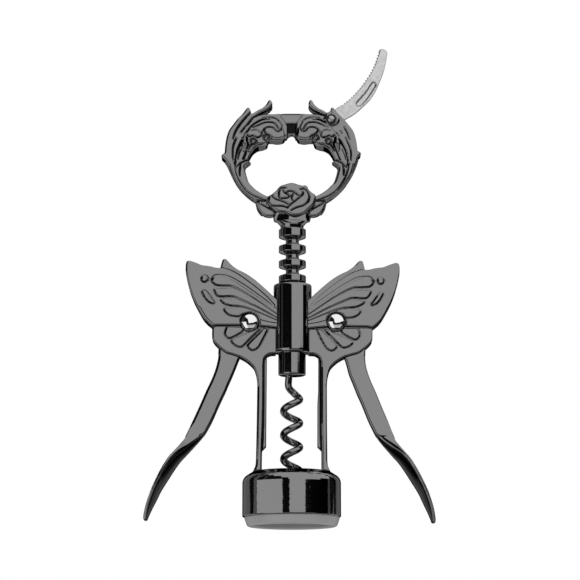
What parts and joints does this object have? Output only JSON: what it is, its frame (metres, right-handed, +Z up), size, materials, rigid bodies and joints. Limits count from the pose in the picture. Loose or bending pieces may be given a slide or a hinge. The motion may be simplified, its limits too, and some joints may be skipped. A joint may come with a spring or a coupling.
{
  "type": "wing corkscrew",
  "caption": "Wing corkscrew with butterfly-wing side plates, two geared levers, a bell with a plastic liner, a worm, and a scrolled ring handle with a fold-out foil blade.",
  "frame": {"origin": "on the worm's axis, in the flat foot of the bell's liner, on which the corkscrew stands", "axes": "+Z up along the worm's axis, +X to the right of someone facing the front, -Y out of the front face; levers down, handle up, foil blade open"},
  "size_m": [0.1164, 0.039, 0.1947],
  "materials": {
    "black_plating": "glossy gunmetal-black electroplating over cast zinc",
    "grey_plastic": "moulded grey plastic, semi-gloss",
    "bright_chrome": "bright nickel-chrome plated rivet",
    "pin_steel": "plain steel pin",
    "worm_steel": "hardened steel wire with black plating",
    "blade_steel": "satin stainless steel"
  },
  "bodies": {
    "frame": {"bell": "black_plating", "bell_liner": "grey_plastic", "left_post": "black_plating", "right_post": "black_plating", "guide_barrel": "black_plating", "front_left_wing": "black_plating", "front_right_wing": "black_plating", "rear_left_wing": "black_plating", "rear_right_wing": "black_plating", "left_pivot_rivet": "bright_chrome", "right_pivot_rivet": "bright_chrome", "left_rivet_cap": "bright_chrome", "right_rivet_cap": "bright_chrome"},
    "sleeve": {"toothed_sleeve": "black_plating"},
    "handle": {"spindle": "black_plating", "worm_collar": "black_plating", "collar_pin": "pin_steel", "worm": "worm_steel", "handle_ring": "black_plating", "handle_pin": "pin_steel", "blade_rivet": "blade_steel"},
    "blade": {"foil_blade": "blade_steel"},
    "left_lever": {"left_lever": "black_plating"},
    "right_lever": {"right_lever": "black_plating"}
  },
  "joints": [
    {"name": "sleeve_slide", "type": "slide", "parent": "frame", "child": "sleeve", "axis": [0, 0, 1], "range_m": [-0.024, 0.0004]},
    {"name": "handle_turn", "type": "hinge", "parent": "sleeve", "child": "handle", "pos_m": [0, 0, 0.12], "axis": [0, 0, 1], "continuous": true},
    {"name": "left_lever_lift", "type": "hinge", "parent": "frame", "child": "left_lever", "pos_m": [-0.0172, 0, 0.0803], "axis": [0, 1, 0], "range_deg": [-1.8, 104.7]},
    {"name": "right_lever_lift", "type": "hinge", "parent": "frame", "child": "right_lever", "pos_m": [0.0172, 0, 0.0803], "axis": [0, -1, 0], "range_deg": [-1.8, 104.7]},
    {"name": "blade_fold", "type": "hinge", "parent": "handle", "child": "blade", "pos_m": [0.0162, 0, 0.1642], "axis": [0, -1, 0], "range_deg": [0, 125]}
  ],
  "couplings": [
    {"joint": "left_lever_lift", "follows": "sleeve_slide", "rad_per_m": -76.046},
    {"joint": "right_lever_lift", "follows": "sleeve_slide", "rad_per_m": -76.046}
  ]
}
